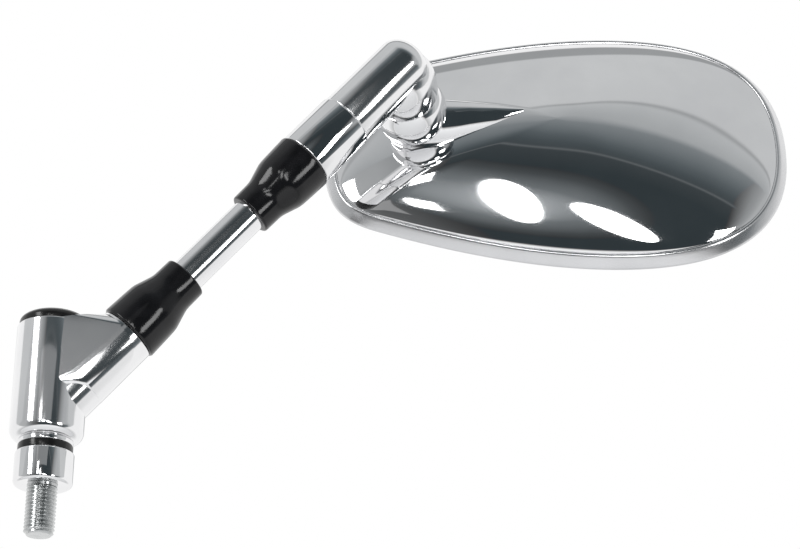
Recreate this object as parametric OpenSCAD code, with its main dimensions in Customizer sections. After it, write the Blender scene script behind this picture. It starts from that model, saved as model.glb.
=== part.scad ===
// Motorcycle mirror: a stud that screws into the handlebar clamp, a forked base arm that swivels on it,
// a straight stem between two lock nuts under rubber boots, and a ball joint behind an oval chrome head.
// Millimetres. The origin is on the stud's axis at the collar's seat, +Z runs up the stud,
// +X is the side that the stem leans to, and +Y is the side that the glass faces.

/* [Mount bolt] */
// Thread diameter of the mount bolt
stud_d = 10; // [8:1:12]
// Length of bare stud below the collar
stud_len = 16.5; // [12:0.5:30]
// Chamfer on the stud's end
stud_chamfer = 1.2; // [0.4:0.1:2]
// Diameter of the bolt's head
bolt_head_d = 16; // [15:0.5:17]
// Height of the bolt's head
bolt_head_h = 10; // [6:0.5:11]
// Hexagon socket across flats
socket_af = 8; // [5:1:9]

/* [Collar and rings] */
// Diameter of the seat collar
collar_d = 19.2; // [17:0.1:22]
// Height of the seat collar
collar_h = 11; // [8:0.5:16]
// Edge rounding of the collar
collar_round = 1.2; // [0.3:0.1:2]
// Chamfer at the mouth of the collar's bore
collar_lead = 0.5; // [0.2:0.1:1]
// Diameter of the black grip ring
grip_ring_d = 18; // [16:0.1:19]
// Thickness of the black grip ring
grip_ring_h = 2.6; // [1:0.1:4]
// Thickness of the bright thrust ring
thrust_ring_h = 1.6; // [1:0.1:3]
// Thickness of the washer under the bolt's head
head_washer_h = 1.5; // [0.8:0.1:2.5]
// Thickness of the disc spring's steel
disc_spring_t = 1.1; // [0.6:0.1:1.6]
// Cone height of the disc spring
disc_spring_rise = 1.3; // [0.5:0.1:2]

/* [Base arm] */
// Diameter of the upright barrel
barrel_d = 24.2; // [22.5:0.1:28]
// Height of the barrel from its foot to its top
barrel_h = 39.4; // [38:0.2:50]
// Rounding at the barrel's foot
barrel_round = 3.5; // [1:0.1:4]
// Height above the barrel's foot at which the stem's axis crosses the barrel's
crossing_h = 10.3; // [9:0.1:14]
// Lean of the stem from the barrel
stem_tilt = 41.5; // [35:0.5:50]
// Diameter of the branch that takes the stem
branch_d = 20; // [19.6:0.1:22]
// Length of the branch from the crossing to its end face
branch_len = 37; // [35:0.5:44]
// Distance from the crossing to the tube's end in the branch
branch_root = 21; // [20.5:0.5:24]
// Rise of the web's top edge towards the branch, in degrees
web_rise = 11; // [0:1:15]
// How far the web sits inside the barrel's sides
web_in = 0.8; // [0.3:0.1:2]
// Wall of the bush
bush_wall = 2; // [1:0.1:2.5]
// Diameter of the counterbore for the bolt's head
counterbore_d = 18; // [17.6:0.1:19]

/* [Top cap] */
// Diameter of the black cap
cap_d = 23.2; // [20:0.1:24]
// Straight edge of the cap
cap_edge = 1.5; // [0.5:0.1:3]
// Height of the cap's dome
cap_dome = 4.1; // [2:0.1:8]
// Depth of the cap's plug in the counterbore
cap_plug = 3; // [1.5:0.1:4]

/* [Stem] */
// Outer diameter of the stem tube
tube_d = 12; // [11:0.1:14]
// Bore of the stem tube
tube_bore = 6; // [3:0.1:7]
// Bare tube between the two boots
tube_show = 30.8; // [15:0.2:80]
// Diameter of the tube's threaded ends
thread_d = 10; // [9:0.1:10.5]
// Depth of the tube's upper thread in the sleeve
thread_grip = 16; // [10:0.5:17]
// Lock nut across flats
nut_af = 16; // [14:0.5:16]
// Thickness of a lock nut
nut_h = 6; // [4:0.5:7]

/* [Rubber boots] */
// Length of a boot
boot_len = 27.6; // [25:0.2:36]
// Diameter at the boot's wide mouth
boot_mouth_d = 21.4; // [20.8:0.1:23]
// Diameter where the boot's taper starts
boot_waist_d = 20.4; // [20:0.1:22]
// Diameter of the boot's neck
boot_neck_d = 15.8; // [15:0.1:17]
// Length of the boot's wide part
boot_wide = 12.5; // [11.5:0.1:14]
// Length of the boot's taper
boot_taper = 6.8; // [3:0.1:9]
// Rounding of the boot's edges
boot_round = 0.8; // [0.2:0.1:1.2]

/* [Knuckle] */
// Diameter of the threaded sleeve
sleeve_d = 20.6; // [19.8:0.1:22]
// Length of the threaded sleeve
sleeve_len = 20.5; // [19:0.5:26]
// Diameter of the knuckle's barrel
knuckle_d = 19.7; // [18.5:0.1:21]
// Distance from the sleeve's end to the cup's axis
knuckle_reach = 26.7; // [25:0.1:32]
// Length of the knuckle's rounded end
knuckle_nose = 7.5; // [5:0.1:9]
// How far the knuckle's barrel runs past the cup's axis before its rounded end
knuckle_past = 2.6; // [1:0.1:5]
// Diameter of the spigot that joins sleeve and knuckle
spigot_d = 14; // [12:0.5:15]
// Length of the spigot
spigot_len = 10; // [6:0.5:11]
// Turn of the cup about the stem's axis, from straight back
cup_turn = 16; // [0:1:30]
// Outer diameter of the cup
cup_d = 24.6; // [24:0.1:26]

/* [Ball joint] */
// Diameter of the ball on the head
ball_d = 25.6; // [25:0.1:26.4]
// Distance from the stem's axis to the ball's centre
ball_reach = 22.6; // [21.5:0.1:26]
// Wall of the hollow ball
ball_wall = 2.2; // [1.8:0.1:2.4]
// Latitude of the cup's mouth, in degrees from the ball's top
mouth_angle = 56; // [54:0.5:60]
// Tilt that the joint allows about each axis, in degrees
joint_tilt = 10; // [4:0.5:11]
// Thread diameter of the ball's bolt
ball_bolt_d = 6; // [5:0.5:6]
// Head diameter of the ball's bolt
ball_bolt_head_d = 11; // [10:0.1:11.4]
// Head height of the ball's bolt
ball_bolt_head_h = 5; // [3:0.1:5]
// Wire of the ball's spring
spring_wire = 1.5; // [1:0.1:1.8]
// Turns of the ball's spring
spring_turns = 4; // [3:1:4]
// Thickness of the cradle washer
cradle_t = 1.6; // [1:0.1:1.8]
// Thickness of the cup's seat ring
seat_t = 0.8; // [0.5:0.1:1]

/* [Mirror head] */
// Length of the head from the ball's foot to the narrow end
head_near = 31.6; // [29:0.2:36]
// Length of the head from the ball's foot to the wide end
head_far = 136.8; // [120:0.2:160]
// Greatest half width of the head
head_half_w = 52.6; // [46:0.2:60]
// Distance from the ball's foot to the widest place
widest_at = 72; // [60:0.5:90]
// Distance from the ball's foot back to the shoulder of the narrow end
shoulder_back = 12; // [9:0.2:14]
// Half width at that shoulder
shoulder_half_w = 36.6; // [34:0.2:40]
// Slope of the edge at the shoulder, in degrees
shoulder_slope = 18.2; // [15:0.1:22]
// Tilt of the head's back from upright
head_tilt = 11; // [5:0.5:20]
// Height of the ball's centre above the bezel's widest line
ball_rise = 23; // [22:0.1:26]
// Wall of the back shell
shell_t = 1.8; // [1.2:0.1:2.4]
// Height of the dome above the bezel
dome_h = 15.5; // [12:0.1:16.5]
// Length of the ridge that fairs the ball into the dome
tail_len = 40; // [32:0.5:46]
// Radius of that ridge under the ball
tail_r = 9.5; // [8:0.1:10]
// Radius of the ridge part of the way along
tail_mid_r = 7.8; // [6:0.1:8.5]
// How far the ridge's tip lies off the head's long axis
tail_side = 4.2; // [0:0.1:6]

/* [Bezel and glass] */
// How far the bezel's sloping flank leans inwards
flank_in = 4.2; // [3.6:0.1:6]
// Height of the bezel's flank
flank_h = 3.2; // [2.6:0.1:5]
// Width of the bezel's lip in front of the glass
lip_w = 1.5; // [1:0.1:2.5]
// Depth of the bezel in front of its widest line
lip_depth = 2.2; // [1.9:0.1:3]
// Thickness of the glass
glass_t = 1.9; // [1.5:0.1:2]
// Bulge of the convex glass
glass_bulge = 2.6; // [0:0.1:4]
// Thickness of the pad behind the glass
pad_t = 1.2; // [0.5:0.1:2]

/* [Hidden] */
$fn = 96;

// Clearances: a shaft in its hole, a loose piece in its pocket, and a ball in its shells
run_gap = 0.05;
free_gap = 0.3;
ball_gap = 0.2;
// A cut runs this far past the face it opens
past = 1;

// Heights up the stud's axis
grip_z = collar_h;
thrust_z = grip_z + grip_ring_h;
foot_z = thrust_z + thrust_ring_h;
crossing_z = foot_z + crossing_h;
barrel_top_z = foot_z + barrel_h;
cap_plug_z = barrel_top_z - cap_plug;
shoulder_z = cap_plug_z - 1 - bolt_head_h - disc_spring_t - disc_spring_rise - head_washer_h;
spring_z = shoulder_z + head_washer_h;
bolt_head_z = spring_z + disc_spring_t + disc_spring_rise;
bush_len = shoulder_z - foot_z - 0.8;
shank_r = stud_d / 2 - 0.2;

// Distances up the stem's axis, from the crossing
lower_boot_l = branch_len;
upper_boot_l = lower_boot_l + 2 * boot_len + tube_show;
knuckle_l = upper_boot_l + sleeve_len;
cup_l = knuckle_l + knuckle_reach;
thread_r = thread_d / 2;

// Directions of the stem and of the cup, and the place of the ball
stem_dir = [sin(stem_tilt), 0, cos(stem_tilt)];
side_dir = [cos(stem_tilt), 0, -sin(stem_tilt)];
cup_dir = sin(cup_turn) * side_dir + [0, cos(cup_turn), 0];
crossing = [0, 0, crossing_z];
ball_centre = crossing + cup_l * stem_dir + ball_reach * cup_dir;

// The head nods about the line across the bolt that is nearest to its long axis
pin_x = cos(cup_turn) * side_dir - [0, sin(cup_turn), 0];
nod_dir = [1, 0, 0] - cup_dir.x * cup_dir;
nod_turn = atan2(-nod_dir * stem_dir, nod_dir * pin_x);

// Radii inside the ball joint, from the ball's centre
ball_r = ball_d / 2;
ball_in_r = ball_r - ball_wall;
cradle_r = ball_in_r - ball_gap;
cradle_in_r = cradle_r - cradle_t;
spring_seat_r = cradle_in_r - ball_gap;
seat_in_r = ball_r + ball_gap;
cup_in_r = seat_in_r + seat_t;
mouth_in_r = ball_r + free_gap;
both_tilts = joint_tilt * sqrt(2);
ball_hole_r = ball_r * sin(both_tilts) + ball_bolt_d / 2 / cos(both_tilts) + free_gap;
slot_half = cradle_r * tan(joint_tilt) + ball_bolt_d / 2 + free_gap;
cradle_angle = asin(ball_hole_r / ball_r) + both_tilts + 6;
seat_low_angle = mouth_angle - 6;
seat_top_angle = asin(ball_hole_r / ball_r) + 3;
spring_seat_disc_r = ball_bolt_head_d / 2;
spring_seat_flat = 4.3;
ball_bolt_grip = 11;
bolt_head_drop = sqrt(pow(ball_in_r - 0.5, 2) - pow(ball_bolt_head_d / 2, 2)) - ball_bolt_head_h;
spring_mean_r = ball_bolt_head_d / 2 - spring_wire / 2 - 0.2;

// Outline of the head: half of it as three Bezier arcs, then mirrored
narrow_steps = 8;
side_steps = 9;
wide_steps = 13;
head_mid = [(head_far - head_near) / 2, 0];
shoulder = [-shoulder_back, shoulder_half_w];
shoulder_run = [cos(shoulder_slope), sin(shoulder_slope)];
near_end = [-head_near, 0];
far_end = [head_far, 0];
widest = [widest_at, head_half_w];

function bezier(p, q, r, s, t) =
    pow(1 - t, 3) * p + 3 * pow(1 - t, 2) * t * q + 3 * (1 - t) * t * t * r + pow(t, 3) * s;

half_outline = concat(
    [for (i = [0:narrow_steps - 1])
        bezier(near_end, near_end + [0, 0.66 * shoulder_half_w],
               shoulder - 16 * shoulder_run, shoulder, i / narrow_steps)],
    [for (i = [0:side_steps - 1])
        bezier(shoulder, shoulder + 21 * shoulder_run,
               widest - [32, 0], widest, i / side_steps)],
    [for (i = [0:wide_steps])
        bezier(widest, widest + [36, 0],
               far_end + [0, 0.78 * head_half_w], far_end, i / wide_steps)]
);
half_count = len(half_outline);
outline = concat(half_outline,
    [for (i = [half_count - 2:-1:1]) [half_outline[i].x, -half_outline[i].y]]);
count = len(outline);

// The outline moved inwards by d, square to its own edge
function inset(d) = [for (i = [0:count - 1])
    let (run = outline[(i + 1) % count] - outline[(i + count - 1) % count])
    outline[i] + d / norm(run) * [run.y, -run.x]];

// A level ring at an inset, and a ring of the inset outline shrunk towards the head's middle
function level_ring(d, z) = [for (p = inset(d)) [p.x, p.y, z]];
function shrunk_ring(d, share, z) =
    [for (p = inset(d)) let (q = head_mid + share * (p - head_mid)) [q.x, q.y, z]];
function middle_point(z) = [head_mid.x, head_mid.y, z];

// Quads between rings of one length, as two triangles each
function band_faces(rings, closed) = [for (k = [0:(closed ? rings - 1 : rings - 2)], i = [0:count - 1])
    let (a = k * count + i, b = k * count + (i + 1) % count,
         c = ((k + 1) % rings) * count + (i + 1) % count, d = ((k + 1) % rings) * count + i)
    each [[a, c, b], [a, d, c]]];
function first_fan(apex) = [for (i = [0:count - 1]) [apex, i, (i + 1) % count]];
function last_fan(start, apex) = [for (i = [0:count - 1]) [apex, start + (i + 1) % count, start + i]];

// A solid swept round the head's outline: a closed loop of rings
module ring_loop(rings) {
    polyhedron(points = [for (r = rings) each r], faces = band_faces(len(rings), true), convexity = 8);
}

// A solid of rings that closes at a point on each side
module ring_skin(first, rings, last) {
    total = len(rings) * count;
    polyhedron(points = concat([for (r = rings) each r], [first, last]),
        faces = concat(first_fan(total), band_faces(len(rings), false),
                       last_fan(total - count, total + 1)), convexity = 8);
}

// Places: up the stem, at the cup with +Z away from the stem, on the ball, and on the head
module on_stem(l = 0) {
    translate(crossing) rotate([0, stem_tilt, 0]) translate([0, 0, l]) children();
}
module on_cup() {
    on_stem(cup_l) rotate([0, 0, -cup_turn]) rotate([-90, 0, 0]) children();
}
module on_ball() {
    on_cup() translate([0, 0, ball_reach]) children();
}
module on_head() {
    translate(ball_centre) rotate([90 - head_tilt, 0, 0]) translate([0, 0, -ball_rise]) children();
}

// A washer or short tube
module ring(outer_r, inner_r, h) {
    difference() {
        cylinder(r = outer_r, h = h);
        translate([0, 0, -past]) cylinder(r = inner_r, h = h + 2 * past);
    }
}

// A round bar with both edges rounded
module rounded_bar(r, h, edge) {
    rotate_extrude() {
        translate([0, edge]) square([r, h - 2 * edge]);
        square([r - edge, h]);
        translate([r - edge, edge]) circle(r = edge, $fn = 48);
        translate([r - edge, h - edge]) circle(r = edge, $fn = 48);
    }
}

// Part of a hollow sphere between two angles from its top, the top towards -Z
module sphere_zone(outer_r, inner_r, from_angle, to_angle) {
    reach = 2 * outer_r;
    rotate_extrude() intersection() {
        difference() {
            circle(r = outer_r);
            circle(r = inner_r);
        }
        polygon([[0, 0],
            reach * [sin(from_angle), -cos(from_angle)],
            reach * [sin((from_angle + to_angle) / 2), -cos((from_angle + to_angle) / 2)],
            reach * [sin(to_angle), -cos(to_angle)]]);
    }
}

// Mount bolt: a cap screw put in from the top of the barrel, whose end is the mirror's stud
module mount_bolt() {
    color("silver") difference() {
        union() {
            translate([0, 0, -stud_len + stud_chamfer])
                cylinder(d = stud_d, h = stud_len - stud_chamfer);
            translate([0, 0, -1]) cylinder(r = shank_r, h = bolt_head_z + 2);
            translate([0, 0, -stud_len])
                cylinder(d1 = stud_d - 2 * stud_chamfer, d2 = stud_d, h = stud_chamfer);
            translate([0, 0, bolt_head_z]) cylinder(d = bolt_head_d, h = bolt_head_h - 0.8);
            translate([0, 0, bolt_head_z + bolt_head_h - 0.8])
                cylinder(d1 = bolt_head_d, d2 = bolt_head_d - 1.6, h = 0.8);
        }
        translate([0, 0, bolt_head_z + bolt_head_h / 2])
            cylinder(d = socket_af / cos(30), h = bolt_head_h, $fn = 6);
    }
}

module seat_collar() {
    color("gainsboro") difference() {
        rounded_bar(collar_d / 2, collar_h, collar_round);
        translate([0, 0, -past]) cylinder(r = shank_r, h = collar_h + 2 * past);
        translate([0, 0, -past])
            cylinder(r1 = stud_d / 2 + collar_lead + past, r2 = shank_r,
                h = stud_d / 2 + collar_lead + past - shank_r);
    }
}

module grip_ring() {
    color("black") translate([0, 0, grip_z]) ring(grip_ring_d / 2, shank_r, grip_ring_h);
}

module thrust_ring() {
    color("gainsboro") translate([0, 0, thrust_z]) difference() {
        rounded_bar(grip_ring_d / 2, thrust_ring_h, 0.3);
        translate([0, 0, -past]) cylinder(r = shank_r, h = thrust_ring_h + 2 * past);
    }
}

module head_washer() {
    color("silver") translate([0, 0, shoulder_z])
        ring(counterbore_d / 2 - 2 * free_gap, shank_r, head_washer_h);
}

// Disc spring: a shallow steel cone that keeps the swivel tight
module disc_spring() {
    inner = shank_r;
    outer = bolt_head_d / 2;
    color("dimgray") translate([0, 0, spring_z]) rotate_extrude() polygon([
        [outer, 0], [outer, disc_spring_t],
        [inner, disc_spring_t + disc_spring_rise], [inner, disc_spring_rise]]);
}

// Forked base arm: barrel, leaning branch and the web that runs flush from one to the other
module barrel_form() {
    r = barrel_d / 2;
    translate([0, 0, foot_z]) rotate_extrude() {
        translate([0, barrel_round]) square([r, barrel_h - barrel_round]);
        square([r - barrel_round, barrel_h]);
        translate([r - barrel_round, barrel_round]) circle(r = barrel_round);
    }
}
module branch_form() {
    on_stem(2) cylinder(d = branch_d, h = branch_len - 3);
    on_stem(branch_len - 1) cylinder(d1 = branch_d, d2 = branch_d - 1.4, h = 1);
}
module web_form() {
    web_low_z = crossing_z + 6;
    branch_low_l = 14;
    intersection() {
        hull() {
            translate([0, 0, web_low_z])
                cylinder(d = barrel_d - 2 * web_in, h = barrel_top_z - web_low_z, $fn = 64);
            on_stem(branch_low_l)
                cylinder(d = branch_d - 0.1, h = branch_len - 1 - branch_low_l, $fn = 64);
        }
        translate([4, -barrel_d, barrel_top_z]) rotate([0, -web_rise, 0])
            translate([-barrel_d, 0, -2 * barrel_h]) cube([3 * barrel_d, 2 * barrel_d, 2 * barrel_h]);
    }
}
module base_arm() {
    color("gainsboro") difference() {
        union() {
            barrel_form();
            branch_form();
            web_form();
        }
        translate([0, 0, foot_z - past]) cylinder(r = shank_r + run_gap + bush_wall, h = barrel_h);
        translate([0, 0, shoulder_z]) cylinder(d = counterbore_d, h = barrel_h);
        translate([0, 0, barrel_top_z]) cylinder(d = cap_d + 2 * free_gap, h = cap_edge + cap_dome);
        on_stem(branch_root - 1)
            cylinder(r = thread_r + run_gap, h = branch_len - branch_root + 1 + past);
    }
}

module pivot_bush() {
    color("peru") translate([0, 0, foot_z])
        ring(shank_r + run_gap + bush_wall, shank_r + run_gap, bush_len);
}

// Top cap: a low dome with a plug that presses into the counterbore
module top_cap() {
    r = cap_d / 2;
    color("black") {
        translate([0, 0, barrel_top_z]) rotate_extrude() polygon(concat(
            [[0, 0], [r, 0]],
            [for (a = [0:6:90]) [r * cos(a), cap_edge + cap_dome * sin(a)]]));
        translate([0, 0, cap_plug_z]) cylinder(d = counterbore_d, h = cap_plug + 0.1);
    }
}

// Stem tube: a hollow bar with a threaded neck at each end
module stem_tube() {
    body_l = lower_boot_l + nut_h;
    body_end_l = upper_boot_l - nut_h;
    low_l = branch_root;
    high_l = upper_boot_l + thread_grip;
    color("gainsboro") difference() {
        union() {
            on_stem(body_l) cylinder(d = tube_d, h = body_end_l - body_l);
            on_stem(low_l) cylinder(r = thread_r, h = high_l - low_l);
        }
        on_stem(low_l - past) cylinder(d = tube_bore, h = high_l - low_l + 2 * past);
    }
}

// Lock nut with the corners of both faces turned off
module lock_nut() {
    corner_r = nut_af / 2 / cos(30);
    bevel = 0.9;
    color("silver") difference() {
        intersection() {
            cylinder(r = corner_r, h = nut_h, $fn = 6);
            rotate_extrude() polygon([[0, 0], [nut_af / 2, 0], [corner_r + 0.1, bevel],
                [corner_r + 0.1, nut_h - bevel], [nut_af / 2, nut_h], [0, nut_h]]);
        }
        translate([0, 0, -past]) cylinder(r = thread_r, h = nut_h + 2 * past);
    }
}
module lower_lock_nut() {
    on_stem(lower_boot_l) lock_nut();
}
module upper_lock_nut() {
    on_stem(upper_boot_l - nut_h) lock_nut();
}

// Rubber boot, from its wide mouth: hollow over the nut, tight on the tube
module boot() {
    mouth_r = boot_mouth_d / 2;
    waist_r = boot_waist_d / 2;
    neck_r = boot_neck_d / 2;
    hollow_r = nut_af / 2 / cos(30) + 0.2;
    neck_l = boot_wide + boot_taper;
    color([0.06, 0.06, 0.06]) rotate_extrude() difference() {
        union() {
            polygon([[0, 0], [mouth_r - boot_round, 0], [mouth_r, boot_round], [waist_r, boot_wide - 1],
                [waist_r - 0.45, boot_wide + 1], [neck_r + 0.5, neck_l - 1], [neck_r, neck_l + 1.2],
                [neck_r - 0.1, boot_len - boot_round], [neck_r - 0.1 - boot_round, boot_len],
                [0, boot_len]]);
            translate([mouth_r - boot_round, boot_round]) circle(r = boot_round, $fn = 48);
            translate([neck_r - 0.1 - boot_round, boot_len - boot_round]) circle(r = boot_round, $fn = 48);
        }
        polygon([[0, -past], [hollow_r, -past], [hollow_r, nut_h + 0.5], [tube_d / 2, nut_h + 3.5],
            [tube_d / 2, boot_len + past], [0, boot_len + past]]);
    }
}
module lower_boot() {
    on_stem(lower_boot_l) boot();
}
module upper_boot() {
    on_stem(upper_boot_l) mirror([0, 0, 1]) boot();
}

// Threaded sleeve: takes the tube's upper end and plugs into the knuckle
module threaded_sleeve() {
    edge = 0.5;
    color("gainsboro") on_stem(upper_boot_l) difference() {
        union() {
            rounded_bar(sleeve_d / 2, sleeve_len, edge);
            cylinder(d = spigot_d, h = sleeve_len + spigot_len);
        }
        translate([0, 0, -past]) cylinder(r = thread_r + run_gap, h = thread_grip + 1 + past);
    }
}

// Knuckle housing: a barrel in line with the stem and a cup square to it
module knuckle_housing() {
    r = knuckle_d / 2;
    edge = 0.4;
    nose_l = knuckle_reach + knuckle_past;
    mouth_h = ball_reach - mouth_in_r * cos(mouth_angle);
    belly_h = 7.5;
    back_l = 13;
    front_l = 19;
    mouth_turn = asin((mouth_h - 0.4 - belly_h) / front_l);
    lip_r = cup_d / 2 * cos(mouth_turn);
    color("gainsboro") difference() {
        union() {
            on_stem(knuckle_l) rotate_extrude() polygon(concat(
                [[0, 0], [r - edge, 0], [r, edge]],
                [for (a = [0:6:90]) [r * cos(a), nose_l + knuckle_nose * sin(a)]]));
            on_cup() rotate_extrude() polygon(concat(
                [for (a = [0:9:90]) [cup_d / 2 * sin(a), belly_h - back_l * cos(a)]],
                [for (i = [1:5]) let (a = mouth_turn * i / 5)
                    [cup_d / 2 * cos(a), belly_h + front_l * sin(a)]],
                [[lip_r - 0.5, mouth_h], [0, mouth_h]]));
        }
        on_stem(knuckle_l - past) cylinder(d = spigot_d, h = spigot_len + past + 0.3);
        on_ball() sphere(r = mouth_in_r);
        on_ball() sphere_zone(cup_in_r, ball_in_r, 0, seat_low_angle);
        on_ball() translate([0, 0, -ball_r - ball_bolt_grip])
            cylinder(d = ball_bolt_d, h = ball_bolt_grip + ball_r);
    }
}

// Seat ring: a slippery ring in the cup that the ball turns against
module cup_seat() {
    color("ivory") on_ball() sphere_zone(cup_in_r, seat_in_r, seat_top_angle, seat_low_angle);
}

// Ball bolt: runs through the ball's hole into the knuckle, with its head inside the ball
module ball_bolt() {
    tip = ball_r + ball_bolt_grip - 0.5;
    color("silver") on_ball() difference() {
        union() {
            translate([0, 0, -tip]) cylinder(d = ball_bolt_d, h = tip + bolt_head_drop + 1);
            translate([0, 0, bolt_head_drop]) cylinder(d = ball_bolt_head_d, h = ball_bolt_head_h);
        }
        translate([0, 0, bolt_head_drop + ball_bolt_head_h - 3])
            cylinder(d = 5 / cos(30), h = 3 + past, $fn = 6);
    }
}

// Spring seat: a domed disc on the ball bolt, under the cradle washer
module spring_seat() {
    color("silver") on_ball() difference() {
        intersection() {
            sphere(r = spring_seat_r);
            translate([0, 0, -spring_seat_r - past])
                cylinder(r = spring_seat_disc_r, h = spring_seat_r + past - spring_seat_flat);
        }
        translate([0, 0, -2 * spring_seat_r]) cylinder(d = ball_bolt_d + 2 * run_gap, h = 2 * spring_seat_r);
    }
}

// Ball spring: a coil between the spring seat and the bolt's head
function coil_point(turn, around, low, high) =
    let (lead = (high - low - spring_wire) * turn / spring_turns, r = spring_mean_r + spring_wire / 2 * cos(around))
    [r * cos(360 * turn), r * sin(360 * turn), low + spring_wire / 2 + lead + spring_wire / 2 * sin(around)];
module ball_spring() {
    sides = 8;
    per_turn = 20;
    rings = spring_turns * per_turn + 1;
    low = -spring_seat_flat;
    high = bolt_head_drop;
    coil = [for (k = [0:rings - 1], i = [0:sides - 1])
        coil_point(k / per_turn, 360 * i / sides, low, high)];
    wall = [for (k = [0:rings - 2], i = [0:sides - 1])
        let (a = k * sides + i, b = k * sides + (i + 1) % sides)
        each [[a, b, b + sides], [a, b + sides, a + sides]]];
    last = (rings - 1) * sides;
    color("dimgray") on_ball() polyhedron(points = coil, convexity = 8,
        faces = concat(wall, [[for (i = [sides - 1:-1:0]) i]], [[for (i = [0:sides - 1]) last + i]]));
}

// Cradle washer: a curved washer with a slot, which lets the bolt lean one way in the ball
module cradle_washer() {
    bolt_r = ball_bolt_d / 2 + free_gap;
    color("silver") on_ball() rotate([0, 0, nod_turn]) difference() {
        sphere_zone(cradle_r, cradle_in_r, 0, cradle_angle);
        translate([0, 0, -2 * cradle_r]) linear_extrude(2 * cradle_r) {
            translate([0, slot_half - bolt_r]) circle(r = bolt_r);
            translate([0, bolt_r - slot_half]) circle(r = bolt_r);
            translate([-bolt_r, bolt_r - slot_half]) square([2 * bolt_r, 2 * (slot_half - bolt_r)]);
        }
    }
}

// Back shell: a thin dome with the hollow ball and the ridge that fairs it in
function dome_z(share) = flank_h + dome_h * pow(1 - share * share, 0.85);
dome_shares = [0.995, 0.98, 0.95, 0.9, 0.82, 0.7, 0.54, 0.36, 0.18];
skirt_z = 1;
module dome_shell() {
    inner_in = flank_in + shell_t;
    ring_skin(middle_point(dome_z(0)),
        concat(
            [for (i = [len(dome_shares) - 1:-1:0])
                shrunk_ring(flank_in, dome_shares[i], dome_z(dome_shares[i]))],
            [level_ring(flank_in, flank_h), level_ring(flank_in, skirt_z),
             level_ring(inner_in, skirt_z), level_ring(inner_in, flank_h - 0.6)],
            [for (i = [1:len(dome_shares) - 1])
                shrunk_ring(inner_in, dome_shares[i], dome_z(dome_shares[i]) - shell_t)]),
        middle_point(dome_z(0) - shell_t));
}
module tail_form() {
    tip_r = 1.2;
    tip_share = 1 - (tail_len + head_near) / (head_far + head_near) * 2;
    mid_x = 0.45 * tail_len;
    hull() {
        translate([0, 0, ball_rise - 8]) sphere(r = tail_r, $fn = 40);
        translate([mid_x, tail_side / 4, dome_z(0.43) - 3.2]) sphere(r = tail_mid_r, $fn = 40);
        translate([tail_len, tail_side, dome_z(tip_share) - tip_r + 0.2]) sphere(r = tip_r, $fn = 20);
    }
}
module back_shell() {
    reach = ball_rise + ball_r;
    color("gainsboro") difference() {
        union() {
            on_head() dome_shell();
            on_head() tail_form();
            on_ball() sphere(r = ball_r);
        }
        on_ball() sphere(r = ball_in_r);
        on_ball() translate([0, 0, -reach]) cylinder(r = ball_hole_r, h = reach);
        on_ball() cylinder(r = ball_bolt_head_d / 2 + 1, h = reach - ball_r + 4);
    }
}

// Bezel: the bright ring round the head, which holds the glass against the shell
module bezel() {
    glass_in = 2.1;
    groove_z = skirt_z - glass_t - 0.2;
    seat_in = flank_in - run_gap;
    lip_in = glass_in + lip_w;
    color("gainsboro") on_head() ring_loop([
        level_ring(seat_in, flank_h), level_ring(seat_in - 0.6, flank_h + 0.25),
        level_ring(0.5, 0.75), level_ring(0.1, 0.35), level_ring(0, -0.1),
        level_ring(0.25, -1.1), level_ring(1.1, 0.2 - lip_depth), level_ring(lip_in - 0.4, -lip_depth),
        level_ring(lip_in, 0.4 - lip_depth), level_ring(lip_in, groove_z),
        level_ring(glass_in, groove_z), level_ring(glass_in, skirt_z), level_ring(seat_in, skirt_z)]);
}

// A sheet that bulges forward like the convex glass
glass_shares = [0.2, 0.4, 0.6, 0.8, 0.93];
function glass_z(share) = skirt_z - glass_t - glass_bulge * (1 - share * share);
module bulged_sheet(edge_in, back_z, thick) {
    ring_skin(middle_point(glass_z(0) + back_z + thick),
        concat(
            [for (share = glass_shares) shrunk_ring(edge_in, share, glass_z(share) + back_z + thick)],
            [level_ring(edge_in, glass_z(1) + back_z + thick), level_ring(edge_in, glass_z(1) + back_z)],
            [for (i = [len(glass_shares) - 1:-1:0])
                shrunk_ring(edge_in, glass_shares[i], glass_z(glass_shares[i]) + back_z)]),
        middle_point(glass_z(0) + back_z));
}
module mirror_glass() {
    color("lightsteelblue") on_head() bulged_sheet(2.4, 0, glass_t);
}
module glass_pad() {
    color("dimgray") on_head() bulged_sheet(flank_in + shell_t + 1, glass_t, pad_t);
}

mount_bolt();
seat_collar();
grip_ring();
thrust_ring();
head_washer();
disc_spring();
base_arm();
pivot_bush();
top_cap();
stem_tube();
lower_lock_nut();
lower_boot();
upper_lock_nut();
upper_boot();
threaded_sleeve();
knuckle_housing();
cup_seat();
ball_bolt();
spring_seat();
ball_spring();
cradle_washer();
back_shell();
bezel();
glass_pad();
mirror_glass();
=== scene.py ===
import math
import bmesh
import bpy
from mathutils import Matrix, Vector


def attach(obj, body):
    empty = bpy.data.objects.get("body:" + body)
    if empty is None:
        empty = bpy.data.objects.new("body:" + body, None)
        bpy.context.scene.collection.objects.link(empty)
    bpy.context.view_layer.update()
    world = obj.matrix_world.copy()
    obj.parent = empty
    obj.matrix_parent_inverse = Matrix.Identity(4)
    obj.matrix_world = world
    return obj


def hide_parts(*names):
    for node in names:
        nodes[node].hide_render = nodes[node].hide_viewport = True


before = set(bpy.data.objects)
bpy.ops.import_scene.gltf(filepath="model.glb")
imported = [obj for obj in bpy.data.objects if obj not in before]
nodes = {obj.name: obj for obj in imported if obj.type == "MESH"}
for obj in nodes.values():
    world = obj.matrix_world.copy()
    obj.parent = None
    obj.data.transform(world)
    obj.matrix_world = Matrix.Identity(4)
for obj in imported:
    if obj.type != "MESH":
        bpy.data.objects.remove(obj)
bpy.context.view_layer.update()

# Sizes in millimetres, as the part's source has them
MM = 0.001
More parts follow.
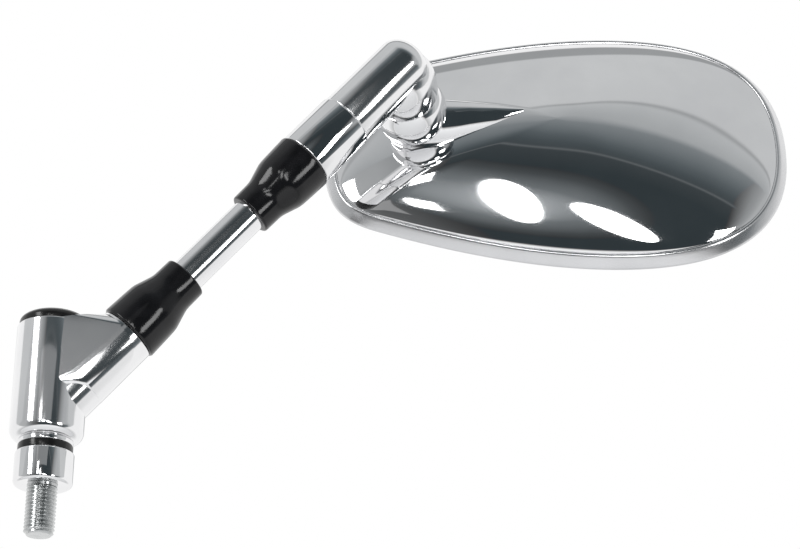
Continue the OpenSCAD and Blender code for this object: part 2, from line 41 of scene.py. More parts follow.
STUD_R, SHANK_R = 5.0, 4.8
STUD_LOW = -16.5
COLLAR_R, COLLAR_H = 9.6, 11.0
GRIP_R, GRIP_TOP = 9.0, 13.6
FOOT_Z = 15.2
BARREL_R, BARREL_TOP = 12.1, 54.6
CROSSING_Z = 25.5
STEM_TILT = 41.5
BRANCH_R, BRANCH_LEN = 10.0, 37.0
WEB_ROOT_R, WEB_HEEL_R = 11.3, 11.1
WEB_RISE = 11.0
CAP_R, CAP_EDGE, CAP_DOME = 11.6, 1.5, 4.1
BOOT_LEN, TUBE_SHOW = 27.6, 30.8
TUBE_R, TUBE_BORE_R = 6.0, 3.0
SLEEVE_R, SLEEVE_LEN = 10.3, 20.5
KNUCKLE_R, KNUCKLE_REACH, KNUCKLE_PAST, KNUCKLE_NOSE = 9.85, 26.7, 2.6, 7.5
CUP_R, CUP_TURN = 12.3, 16.0
BALL_R, BALL_REACH = 12.8, 22.6
BALL_HOLE_R, BALL_WALL = 6.8, 2.2
MOUTH_ANGLE = 56.0
HEAD_TILT, BALL_RISE = 11.0, 23.0
FLANK_IN, FLANK_H = 4.2, 3.2
DOME_H = 15.5
SHELL_WALL, SKIRT_Z = 1.8, 1.0
TAIL_LEN, TAIL_R, TAIL_MID_R, TAIL_SIDE = 40.0, 9.5, 7.8, 4.2
GLASS_BULGE = 2.6
UPPER_L = BRANCH_LEN + 2 * BOOT_LEN + TUBE_SHOW
KNUCKLE_L = UPPER_L + SLEEVE_LEN
CUP_L = KNUCKLE_L + KNUCKLE_REACH

# Threads: the stud's own, and the two between tube, branch and sleeve, which stay plain
THREAD_PITCH, THREAD_DEPTH, CREST_IN = 1.25, 0.72, 0.03
THREAD_STEPS = 72
JOINT_BOLT_R, JOINT_HOLE_R = 4.95, 5.05
JOINT_DEPTH, JOINT_NECK = 15.0, 6.0

# Detail that the source leaves out
RIDGE_CROWN = 2.4
FACE_GAP = 0.02


def turn(degrees, axis):
    return Matrix.Rotation(math.radians(degrees), 4, axis)


def shift(x, y, z):
    return Matrix.Translation((x, y, z))


def on_stem(length=0.0):
    return shift(0, 0, CROSSING_Z) @ turn(STEM_TILT, "Y") @ shift(0, 0, length)


HERE = Matrix.Identity(4)
ON_CUP = on_stem(CUP_L) @ turn(-CUP_TURN, "Z") @ turn(-90, "X")
ON_BALL = ON_CUP @ shift(0, 0, BALL_REACH)
ON_HEAD = (Matrix.Translation(ON_BALL.translation) @ turn(90 - HEAD_TILT, "X")
           @ shift(0, 0, -BALL_RISE))


# Camera: below the mirror, looking up at the back of the head
camera_data = bpy.data.cameras.new("photo_camera")
camera = bpy.data.objects.new("photo_camera", camera_data)
bpy.context.scene.collection.objects.link(camera)
bpy.context.scene.camera = camera
camera_data.sensor_width = 36.0
camera_data.lens = 100.57
camera_data.clip_end = 20.0
yaw, pitch, roll = (math.radians(a) for a in (0.74, 23.57, 0.64))
forward = Vector((-math.sin(yaw) * math.cos(pitch), math.cos(yaw) * math.cos(pitch),
                  math.sin(pitch)))
level = Vector((math.cos(yaw), math.sin(yaw), 0.0))
upright = level.cross(forward)
right = math.cos(roll) * level + math.sin(roll) * upright
up = -math.sin(roll) * level + math.cos(roll) * upright
stand = Matrix((right, up, -forward)).transposed().to_4x4()
stand.translation = (115.23 * right + 68.24 * up - 720.0 * forward) * MM
camera.matrix_world = stand


# Materials
def new_material(name):
    material = bpy.data.materials.new(name)
    material.use_nodes = True
    tree = material.node_tree
    return material, tree, tree.nodes["Principled BSDF"]


def object_noise(tree, scale):
    place = tree.nodes.new("ShaderNodeTexCoord")
    noise = tree.nodes.new("ShaderNodeTexNoise")
    noise.inputs["Scale"].default_value = scale
    noise.inputs["Detail"].default_value = 3.0
    tree.links.new(place.outputs["Object"], noise.inputs["Vector"])
    return noise.outputs["Fac"]


# Noise stays mostly between these two values, which are spread over the range that it drives
NOISE_LOW, NOISE_HIGH = 0.3, 0.7


def drive(tree, source, target, low, high):
    span = tree.nodes.new("ShaderNodeMapRange")
    span.inputs["From Min"].default_value = NOISE_LOW
    span.inputs["From Max"].default_value = NOISE_HIGH
    span.inputs["To Min"].default_value = low
    span.inputs["To Max"].default_value = high
    tree.links.new(source, span.inputs["Value"])
    tree.links.new(span.outputs["Result"], target)


def tint(tree, source, target, dark, light):
    ramp = tree.nodes.new("ShaderNodeValToRGB")
    ramp.color_ramp.elements[0].position = NOISE_LOW
    ramp.color_ramp.elements[0].color = (*dark, 1.0)
    ramp.color_ramp.elements[1].position = NOISE_HIGH
    ramp.color_ramp.elements[1].color = (*light, 1.0)
    tree.links.new(source, ramp.inputs["Fac"])
    tree.links.new(ramp.outputs["Color"], target)


def roughen(tree, shader, source, strength, distance):
    bump = tree.nodes.new("ShaderNodeBump")
    bump.inputs["Strength"].default_value = strength
    bump.inputs["Distance"].default_value = distance
    tree.links.new(source, bump.inputs["Height"])
    tree.links.new(bump.outputs["Normal"], shader.inputs["Normal"])


def surface(name, dark, light, rough_low, rough_high, grain):
    material, tree, shader = new_material(name)
    noise = object_noise(tree, grain)
    tint(tree, noise, shader.inputs["Base Color"], dark, light)
    drive(tree, noise, shader.inputs["Roughness"], rough_low, rough_high)
    return material, tree, shader


def metal(name, dark, light, rough_low, rough_high, grain, bump=0.0, coat=0.0, coat_rough=0.03):
    material, tree, shader = surface(name, dark, light, rough_low, rough_high, grain)
    shader.inputs["Metallic"].default_value = 1.0
    shader.inputs["Coat Weight"].default_value = coat
    shader.inputs["Coat Roughness"].default_value = coat_rough
    if bump:
        roughen(tree, shader, object_noise(tree, grain * 6), bump, 0.0002)
    return material


def dull(name, dark, light, rough_low, rough_high, grain, bump, specular=0.5):
    material, tree, shader = surface(name, dark, light, rough_low, rough_high, grain)
    shader.inputs["Specular IOR Level"].default_value = specular
    roughen(tree, shader, object_noise(tree, grain * 8), bump, 0.0003)
    return material


chrome = metal("mirror_chrome", (0.80, 0.80, 0.81), (0.88, 0.88, 0.885), 0.03, 0.055, 40.0)
cast_chrome = metal("cast_chrome", (0.80, 0.80, 0.81), (0.86, 0.86, 0.865), 0.10, 0.13, 60.0,
                    coat=0.8)
satin_chrome = metal("satin_chrome", (0.66, 0.66, 0.67), (0.72, 0.72, 0.73), 0.20, 0.24, 60.0)
zinc = metal("zinc_thread", (0.52, 0.53, 0.53), (0.66, 0.67, 0.67), 0.20, 0.30, 400.0, 0.1)
spring_steel = metal("spring_steel", (0.16, 0.16, 0.165), (0.28, 0.28, 0.29), 0.28, 0.4, 300.0, 0.1)
bush_brass = metal("bush_brass", (0.50, 0.34, 0.12), (0.72, 0.54, 0.25), 0.25, 0.4, 200.0, 0.1)
boot_rubber = dull("boot_rubber", (0.004, 0.004, 0.0045), (0.007, 0.007, 0.008), 0.09, 0.13,
                   260.0, 0.04, specular=0.35)
black_plastic = dull("black_plastic", (0.005, 0.005, 0.005), (0.009, 0.009, 0.009), 0.16, 0.2,
                     180.0, 0.04, specular=0.35)
seat_plastic = dull("seat_plastic", (0.70, 0.67, 0.58), (0.80, 0.78, 0.70), 0.4, 0.5, 120.0, 0.05)
pad_foam = dull("pad_foam", (0.03, 0.03, 0.03), (0.06, 0.06, 0.06), 0.8, 0.95, 900.0, 0.6)
glass = metal("silvered_glass", (0.80, 0.83, 0.84), (0.84, 0.87, 0.88), 0.0, 0.012, 15.0,
              coat=0.6, coat_rough=0.01)

NODE_FINISH = {
    "mount_bolt": zinc, "seat_collar": chrome, "grip_ring": black_plastic, "thrust_ring": chrome,
    "head_washer": zinc, "disc_spring": spring_steel, "base_arm": chrome, "pivot_bush": bush_brass,
    "top_cap": black_plastic, "stem_tube": chrome, "lower_lock_nut": zinc,
    "lower_boot": boot_rubber, "upper_lock_nut": zinc, "upper_boot": boot_rubber,
    "threaded_sleeve": chrome, "knuckle_housing": chrome, "cup_seat": seat_plastic,
    "ball_bolt": zinc, "spring_seat": zinc, "ball_spring": spring_steel, "cradle_washer": zinc,
    "back_shell": chrome, "bezel": chrome, "glass_pad": pad_foam, "mirror_glass": glass,
}
for node_name, finish in NODE_FINISH.items():
    for material_slot in nodes[node_name].material_slots:
        material_slot.material = finish


# Shaping: profiles are (radius, height) points that are turned about z
def arc(centre_r, centre_z, radius, start, stop, steps=8):
    angles = [math.radians(start + (stop - start) * k / steps) for k in range(steps + 1)]
    return [(centre_r + radius * math.cos(a), centre_z + radius * math.sin(a)) for a in angles]


def rounded_side(outer_r, low, high, foot_round, top_round, foot_steps=4, top_steps=4):
    return (arc(outer_r - foot_round, low + foot_round, foot_round, -90, 0, foot_steps)
            + arc(outer_r - top_round, high - top_round, top_round, 0, 90, top_steps))


def band(low, high, side):
    return [(SHANK_R, low)] + side + [(SHANK_R, high), (SHANK_R, low)]


def revolve(bm, profile, steps=144):
    line = [bm.verts.new((r, 0.0, z)) for r, z in profile]
    edges = [bm.edges.new(pair) for pair in zip(line, line[1:])]
    bmesh.ops.spin(bm, geom=line + edges, cent=(0, 0, 0), axis=(0, 0, 1), angle=math.tau,
                   steps=steps, use_merge=True)
    bmesh.ops.remove_doubles(bm, verts=bm.verts, dist=0.0005)
    bmesh.ops.delete(bm, geom=[e for e in bm.edges if e.is_wire], context="EDGES")
    bmesh.ops.recalc_face_normals(bm, faces=bm.faces)


def wrap(bm):
    bmesh.ops.convex_hull(bm, input=bm.verts)
    bmesh.ops.delete(bm, geom=[v for v in bm.verts if not v.link_faces], context="VERTS")


def cut_above(bm, point, normal):
    everything = list(bm.verts) + list(bm.edges) + list(bm.faces)
    cut = bmesh.ops.bisect_plane(bm, geom=everything, plane_co=point, plane_no=normal,
                                 clear_outer=True)
    return [e for e in cut["geom_cut"] if isinstance(e, bmesh.types.BMEdge)]


def add(bm, extra):
    carrier = bpy.data.meshes.new("carrier")
    extra.to_mesh(carrier)
    extra.free()
    bm.from_mesh(carrier)
    bpy.data.meshes.remove(carrier)


def settle(bm, name, place, body, replaced, finish, sharp=32.0):
    bmesh.ops.transform(bm, matrix=Matrix.Scale(MM, 4) @ place, verts=bm.verts)
    if place.determinant() < 0:
        bmesh.ops.reverse_faces(bm, faces=bm.faces)
    mesh = bpy.data.meshes.new(name)
    bm.to_mesh(mesh)
    bm.free()
    for face in mesh.polygons:
        face.use_smooth = True
    mesh.set_sharp_from_angle(angle=math.radians(sharp))
    mesh.materials.append(finish)
    piece = bpy.data.objects.new(name, mesh)
    bpy.context.scene.collection.objects.link(piece)
    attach(piece, body)
    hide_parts(replaced)


def turned(name, profile, place, body, replaced, finish):
    bm = bmesh.new()
    revolve(bm, profile)
    settle(bm, name, place, body, replaced, finish)


# Stud: a real helical thread below the collar, plain shank and socket head inside the barrel
def make_stud():
    bm = bmesh.new()
    root, crest = STUD_R - THREAD_DEPTH, STUD_R - CREST_IN
    profile = []
    z = STUD_LOW - 2 * THREAD_PITCH
    while z < 3.0:
        profile += [(root, z), (root, z + 0.14), (crest, z + 0.56), (crest, z + 0.72)]
        z += THREAD_PITCH
    line = [bm.verts.new((r, 0.0, h)) for r, h in profile]
    edges = [bm.edges.new(pair) for pair in zip(line, line[1:])]
    bmesh.ops.spin(bm, geom=line + edges, cent=(0, 0, 0), axis=(0, 0, 1), angle=math.tau,
                   dvec=(0, 0, THREAD_PITCH / THREAD_STEPS), steps=THREAD_STEPS)
    bmesh.ops.remove_doubles(bm, verts=bm.verts, dist=0.01)
    for end, normal in ((STUD_LOW, (0, 0, -1)), (0.0, (0, 0, 1))):
        bmesh.ops.holes_fill(bm, edges=cut_above(bm, (0, 0, end), normal))
    end_r, end_slope = 3.95, 1.05
    for v in bm.verts:
        limit = end_r + (v.co.z - STUD_LOW) * end_slope
        around = math.hypot(v.co.x, v.co.y)
        if around > limit:
            v.co.x *= limit / around
            v.co.y *= limit / around
    bmesh.ops.recalc_face_normals(bm, faces=bm.faces)
    shank = bmesh.new()
    head_r, head_low, head_top, head_chamfer = 8.0, 40.6, 50.6, 0.8
    socket_r, socket_low = 4.6, 45.6
    revolve(shank, [(0, -0.5), (SHANK_R, -0.5), (SHANK_R, head_low), (head_r, head_low),
                    (head_r, head_top - head_chamfer), (head_r - head_chamfer, head_top),
                    (socket_r, head_top), (socket_r, socket_low), (0, socket_low)], 96)
    add(bm, shank)
    settle(bm, "threaded_stud", HERE, "mount", "mount_bolt", zinc, 40)


make_stud()

# Collar, grip ring and thrust ring
turned("collar", band(0.0, COLLAR_H, rounded_side(COLLAR_R, 0.0, COLLAR_H, 1.3, 0.6, 8, 5)),
       HERE, "mount", "seat_collar", chrome)
turned("grip_band", band(COLLAR_H, GRIP_TOP, rounded_side(GRIP_R, COLLAR_H, GRIP_TOP, 0.3, 0.3)),
       HERE, "mount", "grip_ring", black_plastic)
turned("thrust_band", band(GRIP_TOP, FOOT_Z, rounded_side(GRIP_R, GRIP_TOP, FOOT_Z, 0.3, 0.3)),
       HERE, "mount", "thrust_ring", chrome)


# Base arm: barrel, branch and the web between them, which sits a little inside the barrel's sides
def make_base():
    bm = bmesh.new()
    bore_r, pocket_r, pocket_low = 6.85, 9.0, 36.7
    revolve(bm, [(bore_r, FOOT_Z)] + rounded_side(BARREL_R, FOOT_Z, BARREL_TOP, 3.5, 0.35, 14, 4)
            + [(pocket_r, BARREL_TOP), (pocket_r, pocket_low), (bore_r, pocket_low),
               (bore_r, FOOT_Z)], 160)
    add(bm, make_branch())
    add(bm, make_web())
    settle(bm, "forked_arm", HERE, "base", "base_arm", cast_chrome, 24)


# The branch ends a hair below the nut and the boot, which turn on its face
def make_branch():
    bm = bmesh.new()
    face = BRANCH_LEN - FACE_GAP
    revolve(bm, [(0, 2.0), (BRANCH_R, 2.0)] + arc(BRANCH_R - 0.5, face - 0.5, 0.5, 0, 90, 5)
            + [(JOINT_HOLE_R, face), (JOINT_HOLE_R, BRANCH_LEN - JOINT_DEPTH),
               (0, BRANCH_LEN - JOINT_DEPTH)], 160)
    bmesh.ops.transform(bm, matrix=on_stem(), verts=bm.verts)
    return bm


# The web is a hull of four circles, cut by its sloping top
def make_web():
    bm = bmesh.new()
    for place, radius in ((shift(0, 0, CROSSING_Z + 6), WEB_ROOT_R),
                          (shift(0, 0, BARREL_TOP + 2), WEB_ROOT_R),
                          (on_stem() @ shift(BRANCH_R - WEB_HEEL_R, 0, 14), WEB_HEEL_R),
                          (on_stem(BRANCH_LEN - 1), BRANCH_R - 0.04)):
        bmesh.ops.create_circle(bm, segments=160, radius=radius, matrix=place)
    wrap(bm)
    top = shift(4, 0, BARREL_TOP) @ turn(-WEB_RISE, "Y")
    rim = cut_above(bm, top.translation, top.to_3x3() @ Vector((0, 0, 1)))
    bmesh.ops.triangle_fill(bm, edges=[e for e in rim if e.is_boundary], use_beauty=True)
    bmesh.ops.recalc_face_normals(bm, faces=bm.faces)
    return bm


make_base()

# Top cap: a low dome over a plug in the barrel's pocket
PLUG_R, PLUG_Z = 8.97, BARREL_TOP - 3
CAP_SEAT = BARREL_TOP + 0.05
turned("cap", [(0, PLUG_Z), (PLUG_R, PLUG_Z), (PLUG_R, CAP_SEAT), (CAP_R - 0.2, CAP_SEAT)]
       + arc(CAP_R - 0.2, CAP_SEAT + 0.2, 0.2, -90, 0, 3)
       + [(CAP_R * math.cos(math.radians(a)),
           BARREL_TOP + CAP_EDGE + CAP_DOME * math.sin(math.radians(a)))
          for a in range(0, 91, 5)],
       HERE, "base", "top_cap", black_plastic)

# Stem tube and its two boots
turned("stem_bar",
       [(TUBE_BORE_R, BRANCH_LEN - JOINT_DEPTH), (JOINT_BOLT_R, BRANCH_LEN - JOINT_DEPTH),
        (JOINT_BOLT_R, BRANCH_LEN + JOINT_NECK), (TUBE_R, BRANCH_LEN + JOINT_NECK),
        (TUBE_R, UPPER_L - JOINT_NECK), (JOINT_BOLT_R, UPPER_L - JOINT_NECK),
        (JOINT_BOLT_R, UPPER_L + JOINT_DEPTH), (TUBE_BORE_R, UPPER_L + JOINT_DEPTH),
        (TUBE_BORE_R, BRANCH_LEN - JOINT_DEPTH)],
       on_stem(), "stem", "stem_tube", cast_chrome)
BOOT = ([(9.5, 0)] + arc(9.9, 0.8, 0.8, -90, 0, 6)
        + [(10.62, 2.5), (10.5, 5.5), (10.35, 9.0), (10.2, 11.6), (10.0, 12.9), (9.62, 14.2),
           (9.15, 15.7), (8.7, 17.2), (8.3, 18.5), (8.02, 19.7), (7.9, 21.0), (7.85, 24.0),
           (7.8, 26.6)]
        + arc(7.1, BOOT_LEN - 0.7, 0.7, 0, 90, 6)
        + [(6.02, BOOT_LEN), (6.02, 10.0), (9.45, 7.0), (9.45, 0.3), (9.5, 0)])
turned("boot_at_arm", BOOT, on_stem(BRANCH_LEN), "stem", "lower_boot", boot_rubber)
turned("boot_at_sleeve", BOOT, on_stem(UPPER_L) @ Matrix.Scale(-1, 4, (0, 0, 1)),
       "stem", "upper_boot", boot_rubber)

# Sleeve, with the spigot that goes into the knuckle
SPIGOT_R, SPIGOT_TOP, SLEEVE_HOLE = 7.0, SLEEVE_LEN + 10, 16.0
turned("sleeve", [(JOINT_HOLE_R, 0)] + rounded_side(SLEEVE_R, 0, SLEEVE_LEN, 0.5, 0.5, 5, 5)
       + [(SPIGOT_R, SLEEVE_LEN), (SPIGOT_R, SPIGOT_TOP), (0, SPIGOT_TOP), (0, SLEEVE_HOLE),
          (JOINT_HOLE_R, SLEEVE_HOLE), (JOINT_HOLE_R, 0)],
       on_stem(UPPER_L), "knuckle", "threaded_sleeve", chrome)


# Knuckle: a barrel with a rounded end, and the cup that holds the ball
def make_knuckle():
    bm = bmesh.new()
    nose = KNUCKLE_REACH + KNUCKLE_PAST
    revolve(bm, [(0, 0), (KNUCKLE_R - 0.4, 0)] + arc(KNUCKLE_R - 0.4, 0.4, 0.4, -90, 0, 4)
            + [(KNUCKLE_R * math.cos(math.radians(a)),
                nose + KNUCKLE_NOSE * math.sin(math.radians(a)))
               for a in range(0, 91, 3)], 160)
    bmesh.ops.transform(bm, matrix=on_stem(KNUCKLE_L), verts=bm.verts)
    cup = bmesh.new()
    mouth_r = BALL_R + 0.3
    mouth = math.radians(MOUTH_ANGLE)
    mouth_h = BALL_REACH - mouth_r * math.cos(mouth)
    belly, back, front = 7.5, 13.0, 19.0
    last = math.asin((mouth_h - 0.4 - belly) / front)
    outer = [(CUP_R * math.sin(math.radians(a)), belly - back * math.cos(math.radians(a)))
             for a in range(0, 91, 3)]
    outer += [(CUP_R * math.cos(last * k / 10), belly + front * math.sin(last * k / 10))
              for k in range(1, 11)]
    lip = CUP_R * math.cos(last)
    inner = [(mouth_r * math.sin(mouth * k / 10), BALL_REACH - mouth_r * math.cos(mouth * k / 10))
             for k in range(10, -1, -1)]
    revolve(cup, outer + [(lip - 0.15, mouth_h - 0.1), (lip - 0.5, mouth_h)] + inner, 160)
    bmesh.ops.transform(cup, matrix=ON_CUP, verts=cup.verts)
    add(bm, cup)
    settle(bm, "knuckle", HERE, "knuckle", "knuckle_housing", cast_chrome, 30)


make_knuckle()


# Mirror head: its outline is three curves, mirrored
def curve(p, q, r, s, t):
    return (1 - t) ** 3 * p + 3 * (1 - t) ** 2 * t * q + 3 * (1 - t) * t * t * r + t ** 3 * s


SHOULDER_Y, WIDEST_Y = 36.6, 52.6
SHOULDER = Vector((-12.0, SHOULDER_Y))
RUN = Vector((math.cos(math.radians(18.2)), math.sin(math.radians(18.2))))
NEAR, FAR, WIDEST = Vector((-31.6, 0)), Vector((136.8, 0)), Vector((72.0, WIDEST_Y))
MIDDLE = (NEAR + FAR) / 2
half = [curve(NEAR, NEAR + Vector((0, 0.66 * SHOULDER_Y)), SHOULDER - 16 * RUN, SHOULDER, k / 32)
        for k in range(32)]
half += [curve(SHOULDER, SHOULDER + 21 * RUN, WIDEST - Vector((32, 0)), WIDEST, k / 36)
         for k in range(36)]
half += [curve(WIDEST, WIDEST + Vector((36, 0)), FAR + Vector((0, 0.78 * WIDEST_Y)), FAR, k / 52)
         for k in range(53)]
OUTLINE = half + [Vector((p.x, -p.y)) for p in reversed(half[1:-1])]
COUNT = len(OUTLINE)


def inset(depth):
    moved = []
    for k, p in enumerate(OUTLINE):
        run = OUTLINE[(k + 1) % COUNT] - OUTLINE[k - 1]
        moved.append(p + Vector((run.y, -run.x)).normalized() * depth)
    return moved


# A share goes from 0 at the dome's middle to 1 at its edge
def dome_z(share):
    return FLANK_H + DOME_H * (1 - share * share) ** 0.85


def ring(depth, height, share=1.0):
    return [Vector(((MIDDLE + share * (p - MIDDLE)).x, share * p.y, height)) for p in inset(depth)]


def loft(bm, rings, closed=False):
    loop = list(bmesh.ops.create_circle(bm, segments=COUNT, radius=1.0)["verts"])
    for v, p in zip(loop, rings[0]):
        v.co = p
    edges = [bm.edges.get((loop[k - 1], loop[k])) for k in range(COUNT)]
    start_edges = edges
    for points in rings[1:]:
        made = bmesh.ops.extrude_edge_only(bm, edges=edges)["geom"]
        fresh = {v for v in made if isinstance(v, bmesh.types.BMVert)}
        loop = [next(e.other_vert(v) for e in v.link_edges if e.other_vert(v) in fresh)
                for v in loop]
        for v, p in zip(loop, points):
            v.co = p
        edges = [bm.edges.get((loop[k - 1], loop[k])) for k in range(COUNT)]
    if closed:
        bmesh.ops.bridge_loops(bm, edges=edges + start_edges)
    return loop


# Draws the last ring to a point, and the open first ring to another
def close_poles(bm, last_loop, last_z, first_z):
    bmesh.ops.pointmerge(bm, verts=last_loop, merge_co=(MIDDLE.x, 0, last_z))
    first_loop = [v for v in bm.verts if v.is_boundary]
    bmesh.ops.pointmerge(bm, verts=first_loop, merge_co=(MIDDLE.x, 0, first_z))
    bmesh.ops.recalc_face_normals(bm, faces=bm.faces)


# The ridge is a hull of balls spread between three of them, swollen so that its flanks are crowned
def make_ridge():
    ridge = bmesh.new()
    tip_share = 1 - (TAIL_LEN - NEAR.x) / (FAR.x - NEAR.x) * 2
    tip_r = 1.2
    root = Vector((0, 0, BALL_RISE - 8, TAIL_R))
    middle = Vector((0.45 * TAIL_LEN, TAIL_SIDE / 4, dome_z(0.43) - 3.2, TAIL_MID_R))
    tip = Vector((TAIL_LEN, TAIL_SIDE, dome_z(tip_share) - 1.0, tip_r))
    steps = 4
    for i in range(steps + 1):
        for k in range(steps + 1 - i):
            a, b = i / steps, k / steps
            c = 1 - a - b
            ball = a * root + b * middle + c * tip
            bmesh.ops.create_uvsphere(ridge, u_segments=32, v_segments=20,
                                      radius=ball.w + RIDGE_CROWN * (a * b + b * c + c * a),
                                      matrix=Matrix.Translation(ball.xyz))
    bmesh.ops.delete(ridge, geom=list(ridge.edges), context="EDGES_FACES")
    wrap(ridge)
    return ridge


def make_ball():
    ball = bmesh.new()
    hole = math.asin(BALL_HOLE_R / BALL_R)
    inside = BALL_R - BALL_WALL
    sweep = [(math.pi - hole) * k / 60 for k in range(61)]
    profile = [(BALL_R * math.sin(hole + a), -BALL_R * math.cos(hole + a)) for a in sweep]
    profile += [(inside * math.sin(math.pi - a), -inside * math.cos(math.pi - a)) for a in sweep]
    revolve(ball, profile + [profile[0]], 144)
    bmesh.ops.transform(ball, matrix=ON_BALL, verts=ball.verts)
    return ball


# Back shell: dome, hollow ball, and the ridge that fairs the ball into the dome
def make_shell():
    bm = bmesh.new()
    inner_in = FLANK_IN + SHELL_WALL
    shares = [math.cos(math.radians(a)) for a in range(4, 89, 4)]
    rings = [ring(inner_in, dome_z(s) - SHELL_WALL, s) for s in reversed(shares[3:])]
    rings += [ring(inner_in, FLANK_H - 0.6), ring(inner_in, SKIRT_Z)]
    rings += [ring(FLANK_IN, SKIRT_Z), ring(FLANK_IN, FLANK_H)]
    rings += [ring(FLANK_IN, dome_z(s), s) for s in shares]
    close_poles(bm, loft(bm, rings), dome_z(0), dome_z(0) - SHELL_WALL)
    add(bm, make_ridge())
    bmesh.ops.transform(bm, matrix=ON_HEAD, verts=bm.verts)
    add(bm, make_ball())
    settle(bm, "domed_back", HERE, "head", "back_shell", chrome, 35)


make_shell()


# Bezel: a closed loop of (inset, height) points round the head, with a fine bead on the dome's side
def make_bezel():
    bm = bmesh.new()
    loft(bm, [ring(depth, height) for depth, height in (
        (4.15, 3.2), (3.85, 3.42), (3.45, 3.48), (3.05, 3.36), (2.65, 3.0), (1.9, 2.15),
        (0.9, 0.95), (0.35, 0.25), (0.1, -0.1), (0.01, -0.4), (0.08, -0.75), (0.3, -1.15),
        (0.65, -1.6), (1.15, -1.92), (1.8, -2.13), (2.6, -2.17), (3.2, -2.14), (3.5, -2.0),
        (3.6, -1.7), (3.6, -1.1), (2.1, -1.1), (2.1, 1.0), (4.15, 1.0))], closed=True)
    bmesh.ops.recalc_face_normals(bm, faces=bm.faces)
    settle(bm, "bright_bezel", ON_HEAD, "head", "bezel", satin_chrome, 40)


# Glass: an even sheet that bulges away from the head
def make_glass():
    bm = bmesh.new()
    shares = [1 - k / 24 for k in range(1, 24)]
    edge_in, edge_z, thick = 2.4, -0.9, 1.9

    def bulge(share):
        return edge_z - GLASS_BULGE * (1 - share * share)

    rings = [ring(edge_in, bulge(s), s) for s in reversed(shares)]
    rings += [ring(edge_in, bulge(1)), ring(edge_in, bulge(1) + thick)]
    rings += [ring(edge_in, bulge(s) + thick, s) for s in shares]
    close_poles(bm, loft(bm, rings), bulge(0) + thick, bulge(0))
    settle(bm, "convex_glass", ON_HEAD, "head", "mirror_glass", glass, 40)


make_bezel()
make_glass()


# Floor: a plain pale disc, small enough to stay out of the dome's reflection
def make_floor():
    bm = bmesh.new()
    bmesh.ops.create_circle(bm, cap_ends=True, segments=96, radius=1.05,
                            matrix=shift(0.08, 0, -0.9))
    mesh = bpy.data.meshes.new("pale_floor")
    bm.to_mesh(mesh)
    bm.free()
    material, _, shader = new_material("pale_floor")
    shader.inputs["Base Color"].default_value = (0.88, 0.88, 0.88, 1)
    shader.inputs["Roughness"].default_value = 0.7
    mesh.materials.append(material)
    floor = bpy.data.objects.new("pale_floor", mesh)
    bpy.context.scene.collection.objects.link(floor)


make_floor()


# A lamp hangs where the dome mirrors it: seen from the point at aim (mm to the right and up), it
# lies on the camera's side in the direction that across and height give, and its width and height
# are shares of its distance
def window_lamp(name, aim, across, height, width, tall, lean, radiance,
                shape="RECTANGLE", distance=1.6):
    toward = math.sqrt(1 - across * across - height * height)
    direction = right * across + up * height - forward * toward
    data = bpy.data.lights.new(name, "AREA")
    data.shape = shape
    data.size = width * distance
    data.size_y = tall * distance
    fill = math.pi / 4 if shape == "ELLIPSE" else 1
    data.energy = radiance * math.pi * data.size * data.size_y * fill
    lamp = bpy.data.objects.new(name, data)
    bpy.context.scene.collection.objects.link(lamp)
    lamp.visible_camera = False
    side = (right - direction * right.dot(direction)).normalized()
    aim_point = (right * aim[0] + up * aim[1]) * MM
    lamp.matrix_world = (Matrix.Translation(aim_point + direction * distance)
                         @ Matrix((side, direction.cross(side), direction)).transposed().to_4x4()
                         @ turn(lean, "Z"))


window_lamp("left_window", (85, 60), -0.71, 0.56, 0.22, 0.55, 0, 7)
window_lamp("right_window", (85, 60), 0.70, 0.06, 0.20, 0.36, 0, 7)
window_lamp("front_lamp", (147, 94), -0.13, 0.40, 0.12, 0.44, 0, 7, "ELLIPSE")
window_lamp("front_window", (184, 84), 0.13, 0.25, 0.16, 0.50, 30, 7, "ELLIPSE")
window_lamp("small_window_high", (121, 108), -0.29, 0.56, 0.09, 0.15, 0, 6)
window_lamp("small_window_low", (122, 89), -0.31, 0.25, 0.05, 0.09, 0, 6)
window_lamp("grey_card", (20, 30), -0.15, 0.70, 0.8, 0.5, 0, 0.20, distance=0.12)


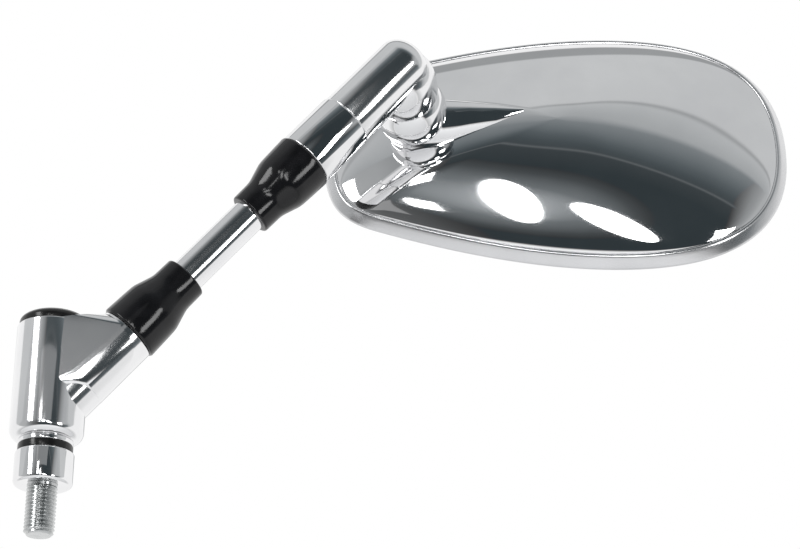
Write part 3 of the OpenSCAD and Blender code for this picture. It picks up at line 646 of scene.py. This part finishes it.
# Surroundings that the chrome mirrors. Each area is a ramp along one direction, with stops of
# (cosine to that direction, grey, coolness), and the lightest area wins
def make_world():
    world = bpy.data.worlds.new("studio")
    bpy.context.scene.world = world
    world.use_nodes = True
    tree = world.node_tree
    tree.nodes.clear()
    output = tree.nodes.new("ShaderNodeOutputWorld")
    place = tree.nodes.new("ShaderNodeTexCoord")

    def along(axis):
        dot = tree.nodes.new("ShaderNodeVectorMath")
        dot.operation = "DOT_PRODUCT"
        dot.inputs[1].default_value = axis
        tree.links.new(place.outputs["Generated"], dot.inputs[0])
        return dot.outputs["Value"]

    def ramp(axis, stops):
        node = tree.nodes.new("ShaderNodeValToRGB")
        remap = tree.nodes.new("ShaderNodeMapRange")
        remap.inputs["From Min"].default_value = -1.0
        tree.links.new(along(axis), remap.inputs["Value"])
        tree.links.new(remap.outputs["Result"], node.inputs["Fac"])
        line = node.color_ramp
        while len(line.elements) < len(stops):
            line.elements.new(0.5)
        for element, (position, grey, cool) in zip(line.elements, stops):
            element.position = (position + 1) / 2
            element.color = (grey, grey * (1 + cool), grey * (1 + 1.5 * cool), 1)
        return node.outputs["Color"]

    def mix(kind, a, b):
        node = tree.nodes.new("ShaderNodeMix")
        node.data_type = "RGBA"
        node.blend_type = kind
        node.inputs["Factor"].default_value = 1.0
        tree.links.new(a, node.inputs["A"])
        tree.links.new(b, node.inputs["B"])
        return node.outputs["Result"]

    def backdrop(colour):
        node = tree.nodes.new("ShaderNodeBackground")
        if isinstance(colour, tuple):
            node.inputs["Color"].default_value = colour
        else:
            tree.links.new(colour, node.inputs["Color"])
        return node.outputs["Background"]

    def choose(factor, otherwise, chosen):
        node = tree.nodes.new("ShaderNodeMixShader")
        tree.links.new(factor, node.inputs["Fac"])
        tree.links.new(otherwise, node.inputs[1])
        tree.links.new(chosen, node.inputs[2])
        return node.outputs["Shader"]

    # White paper behind the mirror, a pale ceiling above it and a dark room in front of it
    toward, skyward = -forward, Vector((0, 0, 1))
    room = ramp(toward, [
        (-1.0, 0.5, 0.02), (-0.975, 0.5, 0.02), (-0.94, 1.0, 0), (-0.90, 1.0, 0),
        (-0.82, 0.36, 0.03), (-0.57, 0.36, 0.03), (-0.545, 0.61, 0.02), (0.13, 0.60, 0.02),
        (0.15, 0.36, 0.03), (0.17, 0.52, 0.03), (0.275, 0.41, 0.04), (0.305, 0.22, 0.1),
        (0.39, 0.15, 0.14), (0.45, 0.105, 0.18), (0.52, 0.07, 0.22), (0.565, 0.06, 0.2),
        (0.578, 0.13, 0.1), (0.592, 0.05, 0.2), (0.72, 0.034, 0.3), (1.0, 0.034, 0.3)])
    left_wall = mix("MULTIPLY",
                    ramp(right, [(-1.0, 0.50, 0.02), (-0.50, 0.40, 0.03), (-0.35, 0.26, 0.04),
                                 (-0.18, 0.0, 0)]),
                    ramp(toward, [(0.55, 1.0, 0), (0.85, 0.35, 0)]))
    right_wall = mix("MULTIPLY",
                     ramp(right, [(0.58, 0.0, 0), (0.70, 0.28, 0.04), (0.82, 0.45, 0.03)]),
                     ramp(up, [(-0.08, 0.0, 0), (0.1, 1.0, 0)]))
    ground = ramp(skyward, [(-1.0, 0.9, 0), (-0.68, 0.88, 0), (-0.60, 0.0, 0)])
    paper = mix("MULTIPLY",
                ramp(1.1 * up - forward, [(-0.02, 1.0, 0), (0.06, 0.0, 0)]),
                ramp(skyward, [(-0.70, 0.5, 0.02), (-0.44, 1.0, 0)]))
    paper = mix("MULTIPLY", paper,
                ramp(toward, [(-1.0, 0.42, 0.02), (-0.975, 0.48, 0.02), (-0.94, 1.0, 0)]))
    haze = ramp(-0.13 * right + 0.38 * up - 0.916 * forward,
                [(0.90, 0.0, 0.1), (0.955, 0.07, 0.12), (0.985, 0.17, 0.1), (1.0, 0.4, 0.06)])
    for area in (left_wall, right_wall, ground, paper, haze):
        room = mix("LIGHTEN", room, area)

    # Mirrored rays see the room, soft light stays plain, and the picture's own background is white
    path = tree.nodes.new("ShaderNodeLightPath")
    sharp = tree.nodes.new("ShaderNodeMath")
    sharp.operation = "MAXIMUM"
    tree.links.new(path.outputs["Is Glossy Ray"], sharp.inputs[0])
    tree.links.new(path.outputs["Is Transmission Ray"], sharp.inputs[1])
    mirrored = choose(sharp.outputs["Value"], backdrop((0.75, 0.76, 0.77, 1)), backdrop(room))
    shown = choose(path.outputs["Is Camera Ray"], mirrored, backdrop((1, 1, 1, 1)))
    tree.links.new(shown, output.inputs["Surface"])


make_world()
bpy.context.scene.view_settings.view_transform = "Standard"
